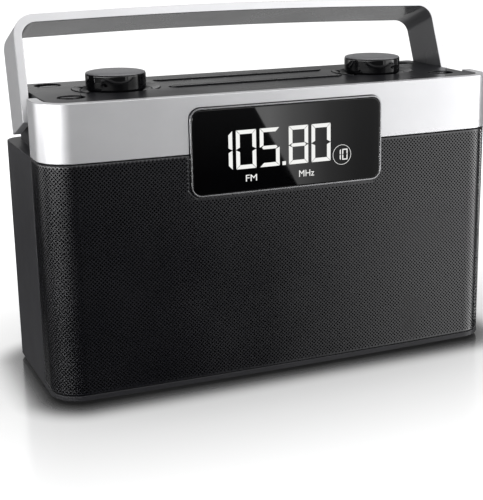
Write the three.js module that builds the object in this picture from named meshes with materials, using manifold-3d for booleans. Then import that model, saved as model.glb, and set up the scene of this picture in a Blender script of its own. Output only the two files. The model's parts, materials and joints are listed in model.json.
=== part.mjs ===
// Portable mains/battery table radio with a folding carrying handle.
// Millimetres. +X is the radio's right when seen from the front, +Y goes to the back, +Z is up.
import * as THREE from 'three';
import { mergeVertices } from 'three/addons/utils/BufferGeometryUtils.js';
import Module from 'manifold-3d';

const wasm = await Module();
wasm.setup();

// ---------------------------------------------------------------- driving dimensions
const gap = 0.3; // clearance between neighbouring pieces
const body = { halfWidth: 131, front: -43.8, bow: 1.5, corner: 17, back: 51, backCorner: 9, split: -15 };
const wall = 2.5;
const rimTop = 3;
const ledgeZ = 125.5; // step that the handle arms stand over
const upper = { halfWidth: 123.6, back: 44, backCorner: 3, front: -24.6, top: 152.3 };
const band = { bottom: 126, top: 156, thickness: 5.2 };
const grille = { inset: 0.2, thickness: 1.4, bottom: rimTop + gap, top: 125.3 };
const frameInset = grille.inset + grille.thickness + gap;
const panel = { halfWidth: 124, bottom: 152.6, top: 155.4, front: -39.7, corner: 12 };
const windowCut = { halfWidth: 55.7, bottom: 102.7, top: 149.85, corner: 6.1 };
const bezelWall = 0.8;
const lensFront = -46.6;
const foot = { height: 2, radius: 7, socket: 0.9 };
const control = { bottom: 138.5, top: 146.5, shaft: 3, shaftTop: 159.8, half: 8, bushing: 5.2 };
const handle = { pivotY: 20.4, pivotZ: 146, lean: 20.5, width: 31, reach: 48, end: 11.2, armThickness: 4.4 };
const pivot = { radius: 4, headRadius: 5.8, headThickness: 1.5, reach: 127.5 };
const knob = { x: 77.75, y: 7.4, radius: 16.2, bottom: 154.2, top: 163.4 };
const battery = {
  radius: 13.1, length: 50, y: 33, rows: [27.5, 56.5], columnX: 26.4, buttonRadius: 3.4, button: 1.6,
};
const antenna = {
  x: 105, y: 47.9, pivotZ: 117, slotHalf: 3.8, radius: 2.9, middleRadius: 1.9, tipRadius: 0.9,
  pinRadius: 1.6, tubeTop: 112, tubeEnd: 24,
};
const beyond = 1; // how far a cutting block runs past the face it opens

// ---------------------------------------------------------------- materials
function material(color, roughness, metalness) {
  return new THREE.MeshStandardMaterial({ color, roughness, metalness });
}
const darkPlastic = material(0x3c3d40, 0.55, 0);
const panelPlastic = material(0x47474b, 0.5, 0);
const blackPlastic = material(0x101012, 0.5, 0);
const glossBlack = material(0x060607, 0.08, 0);
const silverPaint = material(0xc6c7ca, 0.35, 0.8);
const grilleSteel = material(0x16171a, 0.45, 0.6);
const chrome = material(0xd8d8da, 0.12, 1);
const rubber = material(0x1b1b1b, 0.9, 0);
const circuitGreen = material(0x1f5a34, 0.6, 0);
const capGrey = material(0x77777c, 0.45, 0.2);
const cellJacket = material(0x8c7a3a, 0.4, 0.3);
const magnetSteel = material(0x7a7a7e, 0.4, 0.9);
const conePaper = material(0x1d1d1f, 0.95, 0);
const lcdWhite = material(0xdfe4e6, 0.4, 0);
const ferrite = material(0x2b2b2d, 0.7, 0.1);

// ---------------------------------------------------------------- solids and booleans
function toSolid(geometry) {
  const bare = geometry.clone();
  bare.deleteAttribute('normal');
  bare.deleteAttribute('uv');
  const merged = mergeVertices(bare, 1e-4);
  const mesh = new wasm.Mesh({
    numProp: 3,
    vertProperties: new Float32Array(merged.attributes.position.array),
    triVerts: new Uint32Array(merged.index.array),
  });
  return new wasm.Manifold(mesh);
}

function toGeometry(solid) {
  const mesh = solid.getMesh();
  const geometry = new THREE.BufferGeometry();
  geometry.setAttribute('position', new THREE.BufferAttribute(mesh.vertProperties, 3));
  geometry.setIndex(new THREE.BufferAttribute(mesh.triVerts, 1));
  geometry.computeVertexNormals();
  return geometry;
}

function joined(base, ...others) {
  return toGeometry(others.reduce((solid, other) => solid.add(toSolid(other)), toSolid(base)));
}

function cut(base, ...tools) {
  return toGeometry(tools.reduce((solid, tool) => solid.subtract(toSolid(tool)), toSolid(base)));
}

// ---------------------------------------------------------------- outlines
// A closed outline through corners [x, y, radius], each corner rounded by a true arc.
function roundedOutline(corners) {
  const shape = new THREE.Shape();
  const count = corners.length;
  corners.forEach(([x, y, radius], index) => {
    const here = new THREE.Vector2(x, y);
    const before = new THREE.Vector2(...corners[(index + count - 1) % count].slice(0, 2));
    const after = new THREE.Vector2(...corners[(index + 1) % count].slice(0, 2));
    const toBefore = before.sub(here).normalize();
    const toAfter = after.sub(here).normalize();
    const half = Math.acos(THREE.MathUtils.clamp(toBefore.dot(toAfter), -1, 1)) / 2;
    if (!radius) {
      if (index === 0) shape.moveTo(x, y);
      else shape.lineTo(x, y);
      return;
    }
    const reach = radius / Math.tan(half);
    const start = here.clone().addScaledVector(toBefore, reach);
    const end = here.clone().addScaledVector(toAfter, reach);
    const middle = toBefore.clone().add(toAfter).normalize();
    const centre = here.clone().addScaledVector(middle, radius / Math.sin(half));
    if (index === 0) shape.moveTo(start.x, start.y);
    else shape.lineTo(start.x, start.y);
    const clockwise = toBefore.cross(toAfter) > 0;
    shape.absarc(
      centre.x, centre.y, radius,
      start.clone().sub(centre).angle(), end.clone().sub(centre).angle(), clockwise,
    );
  });
  shape.closePath();
  return shape;
}

function roundedRectangle(left, bottom, right, top, radius) {
  return roundedOutline([
    [left, bottom, radius], [right, bottom, radius], [right, top, radius], [left, top, radius],
  ]);
}

// The front half of the cabinet seen from above, closed straight across at backY.
function hullOutline(inset, backY) {
  const shape = new THREE.Shape();
  const centreX = body.halfWidth - body.corner;
  const centreY = body.front + body.corner;
  const bowRadius = (centreX ** 2 + body.bow ** 2) / (2 * body.bow);
  const bowAngle = Math.asin(centreX / bowRadius);
  const down = Math.PI * 1.5;
  shape.moveTo(-body.halfWidth + inset, backY);
  shape.lineTo(-body.halfWidth + inset, centreY);
  shape.absarc(-centreX, centreY, body.corner - inset, Math.PI, down, false);
  const bowCentre = body.front - body.bow + bowRadius;
  shape.absarc(0, bowCentre, bowRadius - inset, down - bowAngle, down + bowAngle, false);
  shape.absarc(centreX, centreY, body.corner - inset, down, Math.PI * 2, false);
  shape.lineTo(body.halfWidth - inset, backY);
  shape.closePath();
  return shape;
}

// ---------------------------------------------------------------- prisms and turned pieces
function extruded(shape, depth, curveSegments) {
  return new THREE.ExtrudeGeometry(shape, { depth, bevelEnabled: false, curveSegments });
}

function upright(shape, bottom, top, curveSegments = 5) {
  return extruded(shape, top - bottom, curveSegments).translate(0, 0, bottom);
}

// A front-view outline (x, z) made solid from front to back.
function facing(shape, front, back, curveSegments = 3) {
  return extruded(shape, back - front, curveSegments).rotateX(Math.PI / 2).translate(0, back, 0);
}

// A side-view outline (y, z) made solid from left to right.
function sideways(shape, left, right, curveSegments = 3) {
  const geometry = extruded(shape, right - left, curveSegments);
  return geometry.rotateX(Math.PI / 2).rotateZ(Math.PI / 2).translate(left, 0, 0);
}

function box(left, right, front, back, bottom, top) {
  const geometry = new THREE.BoxGeometry(right - left, back - front, top - bottom);
  return geometry.translate((left + right) / 2, (front + back) / 2, (bottom + top) / 2);
}

// A profile of [radius, height] points turned about Z: it ends on the axis, or closes on itself.
function turned(profile, segments) {
  const points = profile.map(([radius, height]) => new THREE.Vector2(radius, height));
  if (THREE.ShapeUtils.area(points) < 0) points.reverse();
  const onAxis = points[0].x === 0 && points[points.length - 1].x === 0;
  if (!onAxis) points.push(points[0].clone());
  return new THREE.LatheGeometry(points, segments).rotateX(Math.PI / 2);
}

function standingCylinder(x, y, radius, bottom, top, segments = 24) {
  const geometry = new THREE.CylinderGeometry(radius, radius, top - bottom, segments);
  return geometry.rotateX(Math.PI / 2).translate(x, y, (bottom + top) / 2);
}

function crossCylinder(y, z, radius, left, right, segments = 16) {
  const geometry = new THREE.CylinderGeometry(radius, radius, right - left, segments);
  return geometry.rotateZ(Math.PI / 2).translate((left + right) / 2, y, z);
}

function deepCylinder(x, z, radius, front, back, segments = 24) {
  const geometry = new THREE.CylinderGeometry(radius, radius, back - front, segments);
  return geometry.translate(x, (front + back) / 2, z);
}

// ---------------------------------------------------------------- the scene graph
const radio = new THREE.Group();
radio.position.z = foot.height;

function piece(name, geometry, look, parent = radio) {
  const mesh = new THREE.Mesh(geometry, look);
  mesh.name = name;
  parent.add(mesh);
  return mesh;
}

// ---------------------------------------------------------------- battery door and bay
const bay = { halfWidth: 57, bottom: 12, top: 73 };
const doorGap = 0.5;
const door = {
  halfWidth: bay.halfWidth - doorGap, bottom: bay.bottom + doorGap, top: bay.top - doorGap,
  thickness: 2.4, edge: 0.3,
};
// low and high are measured down from the door's top
const fingerSlot = { pitch: 9, halfWidth: 3, depth: 0.8, low: 9, high: 6 };
const holder = { clearance: 0.6, wall: 1.6 };

function batteryDoor() {
  const round = door.thickness / 2;
  const profile = roundedOutline([
    [body.back - door.thickness, door.bottom, round * 0.99], [body.back, door.bottom, round * 0.99],
    [body.back, door.top, door.edge], [body.back - door.thickness, door.top, door.edge],
  ]);
  const fingerSlots = [-1, 0, 1].map((place) => box(
    place * fingerSlot.pitch - fingerSlot.halfWidth, place * fingerSlot.pitch + fingerSlot.halfWidth,
    body.back - fingerSlot.depth, body.back + beyond, door.top - fingerSlot.low, door.top - fingerSlot.high));
  return cut(sideways(profile, -door.halfWidth, door.halfWidth), ...fingerSlots);
}

function batteryHolder() {
  const front = battery.y - battery.radius - 2.4;
  const back = body.back - wall - 1;
  const half = bay.halfWidth - holder.clearance;
  const low = bay.bottom + 0.2;
  const high = bay.top - holder.clearance;
  const outer = box(-half, half, front, back, low, high);
  const pocket = box(
    -half + holder.wall, half - holder.wall, front + 1.8, back + beyond, low + holder.wall, high - holder.wall);
  return cut(outer, pocket);
}

function batteryCell(x, z) {
  const half = battery.length / 2;
  const cell = crossCylinder(battery.y, z, battery.radius, x - half + battery.button, x + half - 0.4, 20);
  const buttonEnd = x - half + battery.button + 0.4;
  const button = crossCylinder(battery.y, z, battery.buttonRadius, x - half, buttonEnd, 12);
  return joined(cell, button);
}

// ---------------------------------------------------------------- cabinet
const inletPlace = { x: -100, z: 26, width: 24, height: 15 };
const phonesPlace = { x: -72, z: 26, radius: 4.6, bore: 1.8, depth: 12 };
const rod = { y: 28, z: 139, radius: 5, half: 55 };
const footPlaces = [[-108, -24], [108, -24], [-108, 34], [108, 34]];

function lowerPlan(inset) {
  const side = body.halfWidth - inset;
  const round = body.backCorner - inset;
  return roundedOutline([
    [-side, body.split, 0], [side, body.split, 0],
    [side, body.back - inset, round], [-side, body.back - inset, round],
  ]);
}

function upperPlan(inset) {
  const side = upper.halfWidth - inset;
  const round = Math.max(upper.backCorner - inset, 0.4);
  return roundedOutline([
    [-side, upper.front, 0], [side, upper.front, 0],
    [side, upper.back - inset, round], [-side, upper.back - inset, round],
  ]);
}

function rearShell() {
  const lowerBlock = upright(lowerPlan(0), 0, ledgeZ);
  const lowerFloor = upright(hullOutline(0, 0), 0, rimTop);
  const upperBlock = upright(upperPlan(0), ledgeZ - wall, upper.top);
  const channel = { half: antenna.slotHalf + 3.2, front: antenna.y - antenna.slotHalf - 2.4 };
  const lowerHollow = cut(
    upright(lowerPlan(wall), rimTop, ledgeZ - wall),
    box(antenna.x - channel.half, antenna.x + channel.half, channel.front, body.back, 0, ledgeZ),
  );
  const frontMouth = box(
    -body.halfWidth + wall, body.halfWidth - wall, body.split - beyond, 0, rimTop, ledgeZ - wall);
  const upperHollow = upright(upperPlan(wall), ledgeZ - wall - beyond, upper.top + beyond);
  const upperMouth = box(
    -upper.halfWidth + wall, upper.halfWidth - wall,
    upper.front - beyond, 0, ledgeZ - wall - beyond, upper.top + beyond);
  const pivotHoles = crossCylinder(
    handle.pivotY, handle.pivotZ, pivot.radius + gap, -body.halfWidth, body.halfWidth);
  const inside = body.back - wall - beyond;
  const outside = body.back + beyond;
  const doorway = box(-bay.halfWidth, bay.halfWidth, inside, outside, bay.bottom, bay.top);
  const inletHole = box(
    inletPlace.x - inletPlace.width / 2 - gap, inletPlace.x + inletPlace.width / 2 + gap,
    inside, outside,
    inletPlace.z - inletPlace.height / 2 - gap, inletPlace.z + inletPlace.height / 2 + gap);
  const phonesHole = deepCylinder(phonesPlace.x, phonesPlace.z, phonesPlace.radius + gap, inside, outside, 24);
  const slotHalf = antenna.slotHalf;
  const mastSlot = box( // open at the underside, so the sections can be drawn out of it downwards too
    antenna.x - slotHalf, antenna.x + slotHalf, antenna.y - slotHalf, outside, -beyond, ledgeZ + 10);
  const mastPinHole = crossCylinder(
    antenna.y, antenna.pivotZ, antenna.pinRadius + gap,
    antenna.x - channel.half - 0.5, antenna.x + channel.half + 0.5, 16);
  const footPockets = footPlaces.map(([x, y]) => standingCylinder(
    x, y, foot.radius + 0.4, -beyond, foot.socket + gap));
  const bothBlocks = joined(lowerBlock, lowerFloor, upperBlock);
  return cut(
    bothBlocks, lowerHollow, frontMouth, upperHollow, upperMouth, pivotHoles,
    doorway, inletHole, phonesHole, mastSlot, mastPinHole, ...footPockets,
  );
}

piece('rear_shell', rearShell(), darkPlastic);
piece('battery_door', batteryDoor(), darkPlastic);
piece('battery_holder', batteryHolder(), blackPlastic);
battery.rows.forEach((z, row) => {
  [-1, 1].forEach((side) => {
    const name = `battery_cell_${row === 0 ? 'lower' : 'upper'}_${side < 0 ? 'left' : 'right'}`;
    piece(name, batteryCell(side * battery.columnX, z), cellJacket);
  });
});
footPlaces.forEach(([x, y], index) => {
  piece(`foot_${index + 1}`, standingCylinder(x, y, foot.radius, -foot.height, foot.socket), rubber);
});

// ---------------------------------------------------------------- front: frame, grille, band, display
const speaker = { x: -62, z: 55, hole: 41, seat: -12.2 };
const skin = 2.6; // wall of the frame behind the grille and the band
const displayPlate = { halfWidth: 58, front: -39.7, back: -37.2, bottom: 102.5 };
const displayMouth = { halfWidth: 50.5, bottom: 107, top: 145.5 };

function hullRing(inset, thickness, bottom, top, back = body.split - gap) {
  return cut(
    upright(hullOutline(inset, back), bottom, top),
    upright(hullOutline(inset + thickness, back + beyond), bottom - beyond, top + beyond),
  );
}

// The display's opening, run from in front of the radio back to the plane y = back.
function windowHole(back = 0) {
  const shape = roundedRectangle(
    -windowCut.halfWidth, windowCut.bottom, windowCut.halfWidth, windowCut.top, windowCut.corner);
  return facing(shape, body.front - 5, back);
}

function frontFrame() {
  const shelfInset = band.thickness + gap;
  const lower = hullRing(frameInset, skin, rimTop + gap, grille.top);
  const riserBack = upper.front - gap;
  const shelf = hullRing(frameInset, shelfInset + skin - frameInset, grille.top - 3, grille.top, riserBack);
  const riser = hullRing(shelfInset, skin, grille.top - 1, upper.top, riserBack);
  const plate = box(
    -displayPlate.halfWidth, displayPlate.halfWidth, displayPlate.front, displayPlate.back,
    displayPlate.bottom, grille.top);
  const mouth = box(
    -displayMouth.halfWidth, displayMouth.halfWidth, body.front - 5, 0, displayMouth.bottom, displayMouth.top);
  const speakerHole = deepCylinder(speaker.x, speaker.z, speaker.hole, body.front - 5, 0, 32);
  const bezelSeat = windowHole(displayPlate.front - 0.2);
  return cut(joined(lower, shelf, riser, plate), mouth, speakerHole, bezelSeat);
}

function displayBezel() {
  const inner = windowCut.halfWidth - gap - bezelWall;
  const low = windowCut.bottom + gap + bezelWall;
  const high = windowCut.top - gap - bezelWall;
  const round = windowCut.corner - gap - bezelWall;
  const outerShape = roundedRectangle(
    -inner - bezelWall, low - bezelWall, inner + bezelWall, high + bezelWall, round + bezelWall);
  const innerShape = roundedRectangle(-inner, low, inner, high, round);
  const back = displayPlate.front - 0.5;
  return cut(facing(outerShape, lensFront + 0.3, back), facing(innerShape, lensFront - beyond, back + 1.2));
}

function displayLens() {
  const side = windowCut.halfWidth - 2 * gap - bezelWall;
  const low = windowCut.bottom + 2 * gap + bezelWall;
  const high = windowCut.top - 2 * gap - bezelWall;
  const round = windowCut.corner - 2 * gap - bezelWall;
  return facing(roundedRectangle(-side, low, side, high, round), lensFront, lensFront + 2.2);
}

piece('front_frame', frontFrame(), blackPlastic);
piece('speaker_grille', cut(
  hullRing(grille.inset, grille.thickness, grille.bottom, grille.top), windowHole()), grilleSteel);
piece('silver_band', cut(
  hullRing(0, band.thickness, band.bottom, band.top, body.split), windowHole()), silverPaint);
piece('display_bezel', displayBezel(), silverPaint);
piece('display_window', displayLens(), glossBlack);
piece('lcd_module', box(-52, 52, -44, -40.4, 106, 146.6), lcdWhite);

// ---------------------------------------------------------------- top panel and its controls
const roundButton = { radius: 6.9, places: {
  front_left: [-108.5, -17], front_right: [110, -17], rear_left: [-109, 33], rear_right: [111, 30] } };
const preset = { pitch: 20, count: 5, halfDepth: 4.8, tip: 4.6, centreX: 1, rows: { rear: 26, front: -2 } };
const sideButton = { inner: 19.4, outer: 23.6, halfAngle: 0.62 };
const flange = { bottom: 151, top: 152.3, lip: 1, overlap: 0.2 };
const keyGap = 0.4; // clearance round a key in the panel
const dishShape = { depth: 1.8, floorMargin: 1, brimMargin: 4.2, brimRise: 0.4 };
const board = {
  top: 148.8, thickness: 1.6, halfWidth: 118, front: -30, back: 38, switchTop: 149.6, switchHalf: 2.5,
};

function arcOutline(x, y, inner, outer, facingAngle, halfAngle) {
  const shape = new THREE.Shape();
  shape.absarc(x, y, outer, facingAngle - halfAngle, facingAngle + halfAngle, false);
  shape.absarc(x, y, inner, facingAngle + halfAngle, facingAngle - halfAngle, true);
  shape.closePath();
  return shape;
}

function sideButtonOutline(side, facingAngle, clearance) {
  return arcOutline(
    side * knob.x, knob.y, sideButton.inner - clearance, sideButton.outer + clearance,
    facingAngle, sideButton.halfAngle + clearance / sideButton.inner);
}

function presetRowOutline(y, clearance) {
  const half = (preset.pitch * preset.count) / 2 - preset.tip / 2 + clearance / 2;
  const deep = preset.halfDepth + clearance;
  return roundedOutline([
    [preset.centreX - half - preset.tip, y, 0.3], [preset.centreX - half, y - deep, 1],
    [preset.centreX + half, y - deep, 1], [preset.centreX + half + preset.tip, y, 0.3],
    [preset.centreX + half, y + deep, 1], [preset.centreX - half, y + deep, 1],
  ]);
}

function knobDish(side) {
  const floor = panel.top - dishShape.depth;
  const brim = panel.top + dishShape.brimRise;
  const dish = turned([
    [0, floor], [knob.radius + dishShape.floorMargin, floor],
    [knob.radius + dishShape.brimMargin, brim], [0, brim],
  ], 32);
  return dish.translate(side * knob.x, knob.y, 0);
}

function topPanel() {
  const side = panel.halfWidth;
  const frontCorner = panel.front + 1.7;
  const plan = roundedOutline([
    [-side, upper.back, 3], [-side, frontCorner, panel.corner], [0, panel.front - 1.3, 4400],
    [side, frontCorner, panel.corner], [side, upper.back, 3],
  ]);
  const through = [panel.bottom - beyond, panel.top + beyond];
  const tools = [];
  [-1, 1].forEach((half) => {
    tools.push(knobDish(half), standingCylinder(half * knob.x, knob.y, 4, ...through, 24));
    [0, Math.PI].forEach((angle) => tools.push(upright(sideButtonOutline(half, angle, keyGap), ...through, 3)));
  });
  Object.values(roundButton.places).forEach(([x, y]) => {
    tools.push(standingCylinder(x, y, roundButton.radius + keyGap, ...through, 24));
  });
  Object.values(preset.rows).forEach((y) => tools.push(upright(presetRowOutline(y, keyGap), ...through, 1)));
  return cut(upright(plan, panel.bottom, panel.top, 4), ...tools);
}

function arcButton(side, angle) {
  const cap = upright(sideButtonOutline(side, angle, 0), flange.top - flange.overlap, panel.top + 0.5, 3);
  return joined(cap, upright(sideButtonOutline(side, angle, flange.lip), flange.bottom, flange.top, 3));
}

// A round key whose top dips towards the front or the back edge of the panel.
function dippedButton([x, y]) {
  const dip = 1.9;
  const away = Math.sign(y);
  const radius = roundButton.radius;
  const high = panel.top - 0.2;
  const low = high - dip;
  const above = panel.top + 3;
  const inner = y - away * radius * 1.1;
  const outer = y + away * radius * 1.1;
  const wedge = sideways(
    roundedOutline([[inner, high, 0], [outer, low, 0], [outer, above, 0], [inner, above, 0]]),
    x - radius - beyond, x + radius + beyond);
  const cap = cut(standingCylinder(x, y, radius, flange.top - flange.overlap, panel.top + beyond, 24), wedge);
  return joined(cap, standingCylinder(x, y, radius + flange.lip, flange.bottom, flange.top, 16));
}

// A preset key: the row's lens outline cut to its own stretch, its top rising to the front edge.
function presetButton(y, index) {
  const left = preset.centreX + (index - preset.count / 2) * preset.pitch + gap;
  const right = left + preset.pitch - 2 * gap;
  const outerLeft = index === 0 ? left - preset.tip : left;
  const outerRight = index === preset.count - 1 ? right + preset.tip : right;
  const rowHalf = preset.pitch * preset.count;
  const around = [y - preset.pitch, y + preset.pitch, flange.bottom - 10, panel.top + 10];
  const trim = [box(-rowHalf, outerLeft, ...around), box(outerRight, rowHalf, ...around)];
  const tilt = 0.9; // the cap stands this much above the panel in front and below it behind
  const frontEdge = y - preset.halfDepth - 1;
  const backEdge = y + preset.halfDepth + 1;
  const slope = sideways(roundedOutline([
    [frontEdge, panel.top + tilt, 0], [backEdge, panel.top - tilt, 0],
    [backEdge, panel.top + 4, 0], [frontEdge, panel.top + 4, 0],
  ]), -rowHalf, rowHalf);
  const block = upright(presetRowOutline(y, 0), flange.top - flange.overlap, panel.top + 2, 1);
  const cap = cut(block, slope, ...trim);
  const lip = cut(upright(presetRowOutline(y, flange.lip), flange.bottom, flange.top, 1), ...trim);
  return joined(cap, lip);
}

// A hollow skirt round a hub that is bored for the shaft.
function knobBody() {
  const skirt = knob.radius;
  const hub = 6.2;
  const hubTop = knob.top - 3.2;
  const roof = knob.top - 2.8;
  const bore = control.shaft + gap;
  return turned([
    [0, hubTop], [bore, hubTop], [bore, knob.bottom + 0.8], [hub, knob.bottom + 0.8], [hub, roof],
    [skirt - 3, roof], [skirt - 3, knob.bottom], [skirt - 2, knob.bottom], [skirt - 0.7, knob.bottom + 0.6],
    [skirt, knob.bottom + 2], [skirt - 0.3, knob.top - 0.4], [skirt - 0.9, knob.top], [0, knob.top],
  ], 32);
}

function knobCap() {
  const radius = knob.radius - 0.6;
  const seat = knob.top + gap;
  return turned([
    [0, seat], [radius, seat], [radius, seat + 0.35], [radius - 0.5, seat + 0.6],
    [radius * 0.55, seat + 0.95], [0, seat + 1.1],
  ], 32);
}

function controlBody() {
  const { half, bottom, top, bushing, shaft, shaftTop } = control;
  const can = box(-half, half, -half, half, bottom, top);
  const neck = standingCylinder(0, 0, bushing, top - 1, top + 3, 24);
  return cut(joined(can, neck), standingCylinder(0, 0, shaft + gap, bottom + 1.5, shaftTop, 24));
}

function keyBoard() {
  const low = board.top - board.thickness;
  const plate = box(-board.halfWidth, board.halfWidth, board.front, board.back, low, board.top);
  const clearances = [-1, 1].map((side) => standingCylinder(
    side * knob.x, knob.y, control.bushing + 0.8, low - beyond, board.top + beyond, 24));
  const switches = [];
  const addSwitch = (x, y) => switches.push(box(
    x - board.switchHalf, x + board.switchHalf, y - board.switchHalf, y + board.switchHalf,
    board.top - 0.4, board.switchTop));
  Object.values(roundButton.places).forEach(([x, y]) => addSwitch(x, y));
  Object.values(preset.rows).forEach((y) => {
    for (let index = 0; index < preset.count; index += 1) {
      addSwitch(preset.centreX + (index + 0.5 - preset.count / 2) * preset.pitch, y);
    }
  });
  const reach = (sideButton.inner + sideButton.outer) / 2;
  [-1, 1].forEach((half) => [-1, 1].forEach((way) => addSwitch(half * knob.x + way * reach, knob.y)));
  return cut(joined(plate, ...switches), ...clearances);
}

piece('top_panel', topPanel(), panelPlastic);
piece('key_board', keyBoard(), circuitGreen);
[['volume', -1], ['tuning', 1]].forEach(([name, side]) => {
  const group = new THREE.Group();
  group.position.set(side * knob.x, knob.y, 0);
  radio.add(group);
  piece(`${name}_knob`, knobBody(), glossBlack, group);
  piece(`${name}_knob_cap`, knobCap(), capGrey, group);
  const shaft = standingCylinder(0, 0, control.shaft, control.bottom + 2, control.shaftTop, 24);
  piece(`${name}_shaft`, shaft, chrome, group);
  piece(`${name}_control`, controlBody(), magnetSteel, group);
  piece(`${name}_key_left`, arcButton(side, Math.PI), panelPlastic);
  piece(`${name}_key_right`, arcButton(side, 0), panelPlastic);
});
Object.entries(roundButton.places).forEach(([place, centre]) => {
  piece(`round_key_${place}`, dippedButton(centre), panelPlastic);
});
Object.entries(preset.rows).forEach(([row, y]) => {
  for (let index = 0; index < preset.count; index += 1) {
    piece(`preset_key_${row}_${index + 1}`, presetButton(y, index), panelPlastic);
  }
});

// ---------------------------------------------------------------- carrying handle
// The left and right ends of a stretch from inner to outer on one side of the radio.
function sideSpan(side, inner, outer) {
  return [Math.min(side * inner, side * outer), Math.max(side * inner, side * outer)];
}

function handleStrap() {
  const armFoot = 129.9;
  const shoulder = 128.2;
  const arch = 1.6;
  const bar = 3.9;
  const { reach, end, armThickness, width } = handle;
  const outline = roundedOutline([
    [-armFoot, -end, 0.8], [-armFoot + armThickness, -end, 0.8],
    [-shoulder + armThickness, reach - bar - arch, 8], [0, reach - bar + arch, 3400],
    [shoulder - armThickness, reach - bar - arch, 8], [armFoot - armThickness, -end, 0.8],
    [armFoot, -end, 0.8], [shoulder, reach - arch, 12], [0, reach + arch, 3400], [-shoulder, reach - arch, 12],
  ]);
  const strap = facing(outline, -width / 2, width / 2, 4);
  const blindHoles = [-1, 1].map((side) => crossCylinder(
    0, 0, pivot.radius + gap, ...sideSpan(side, upper.halfWidth, pivot.reach + gap)));
  return cut(strap, ...blindHoles);
}

function pivotPin(side) {
  const head = upper.halfWidth - wall - 0.6;
  const inner = head - pivot.headThickness;
  const pin = crossCylinder(0, 0, pivot.radius, ...sideSpan(side, inner, pivot.reach));
  return joined(pin, crossCylinder(0, 0, pivot.headRadius, ...sideSpan(side, inner, head)));
}

const handleGroup = new THREE.Group();
handleGroup.position.set(0, handle.pivotY, handle.pivotZ);
handleGroup.rotation.x = -THREE.MathUtils.degToRad(handle.lean);
radio.add(handleGroup);
piece('handle', handleStrap(), silverPaint, handleGroup);
piece('handle_pivot_left', pivotPin(-1), chrome, handleGroup);
piece('handle_pivot_right', pivotPin(1), chrome, handleGroup);

// ---------------------------------------------------------------- works inside
function speakerFrame() {
  const basket = turned([
    [24, 3], [24, 0], [47, 24], [47, 26.5], [41.5, 26.5], [41.5, 24.5], [36, 19], [20.5, 3],
  ], 24);
  const magnet = turned([[0, -14], [27, -14], [27, 1.2], [24, 3.2], [0, 3.2]], 24);
  return joined(basket, magnet).rotateX(Math.PI / 2).translate(speaker.x, speaker.seat, speaker.z);
}

function speakerCone() {
  const cone = turned([
    [0, 9.2], [12, 9.2], [35, 23.4], [41, 24.8], [41, 25.8], [34.6, 25], [12, 12.2], [6, 14.4], [0, 14.8],
  ], 24);
  return cone.rotateX(Math.PI / 2).translate(speaker.x, speaker.seat, speaker.z);
}

// The receiver board: its parts stand on the front face, each sunk a little into it.
function mainBoard() {
  const face = 9;
  const sunk = face + 0.2;
  const plate = box(-14, 118, face, face + 1.6, 14, 112);
  const chips = [
    { left: 20, right: 44, bottom: 60, top: 84, height: 3 },
    { left: 60, right: 74, bottom: 70, top: 84, height: 2.5 },
    { left: 86, right: 112, bottom: 84, top: 104, height: 13 },
    { left: 80, right: 104, bottom: 20, top: 46, height: 9 },
  ].map(({ left, right, bottom, top, height }) => box(left, right, face - height, sunk, bottom, top));
  const capacitors = [
    { x: 4, z: 34, radius: 6, height: 17 },
    { x: 20, z: 34, radius: 6, height: 17 },
    { x: 38, z: 30, radius: 4, height: 9 },
  ].map(({ x, z, radius, height }) => deepCylinder(x, z, radius, face - height, sunk, 20));
  return joined(plate, ...chips, ...capacitors);
}

function transformer() {
  const core = box(-120, -82, 12, 40, 50, 82);
  const winding = box(-114, -88, 8, 44, 56, 76);
  return joined(core, winding);
}

// A two-pin appliance inlet: its hollow is two round lobes side by side.
function mainsInlet() {
  const { x, z, width, height } = inletPlace;
  const back = body.back - 0.2;
  const lobe = 4.2;
  const depth = 12;
  const housing = box(x - width / 2, x + width / 2, back - depth - 3, back, z - height / 2, z + height / 2);
  const lobes = [-lobe, lobe].map((shift) => deepCylinder(x + shift, z, lobe, back - depth, back + beyond, 24));
  const waist = box(x - lobe, x + lobe, back - depth, back + beyond, z - 3, z + 3);
  const pins = [-lobe, lobe].map((shift) => deepCylinder(x + shift, z, 1.2, back - depth - 1, back - 3, 12));
  return joined(cut(housing, ...lobes, waist), ...pins);
}

function phonesSocket() {
  const { x, z, radius, bore, depth } = phonesPlace;
  const back = body.back - 0.2;
  const barrel = deepCylinder(x, z, radius, back - depth - 1, back, 24);
  return cut(barrel, deepCylinder(x, z, bore, back - depth, back + beyond, 20));
}

piece('speaker_frame', speakerFrame(), magnetSteel);
piece('speaker_cone', speakerCone(), conePaper);
piece('main_board', mainBoard(), circuitGreen);
piece('mains_transformer', transformer(), magnetSteel);
piece('mains_inlet', mainsInlet(), blackPlastic);
piece('phones_socket', phonesSocket(), chrome);
piece('ferrite_rod', crossCylinder(rod.y, rod.z, rod.radius, -rod.half, rod.half, 20), ferrite);

// ---------------------------------------------------------------- telescopic antenna, stowed pointing down
function mastTube(radius, bore, end, start) {
  const tube = standingCylinder(0, 0, radius, end, start, 16);
  return cut(tube, standingCylinder(0, 0, bore, end - beyond, start - 3, 12));
}

function mastBase() {
  const start = antenna.tubeTop - antenna.pivotZ;
  const end = antenna.tubeEnd - antenna.pivotZ;
  const half = 2.6;
  const knuckle = joined(
    crossCylinder(0, 0, antenna.slotHalf - 0.7, -half, half, 24),
    box(-half, half, -half, half, start - 1, 0),
  );
  const pinBore = crossCylinder(0, 0, antenna.pinRadius + gap, -half - beyond, half + beyond, 16);
  return joined(cut(knuckle, pinBore), mastTube(antenna.radius, antenna.middleRadius + gap, end, start));
}

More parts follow.
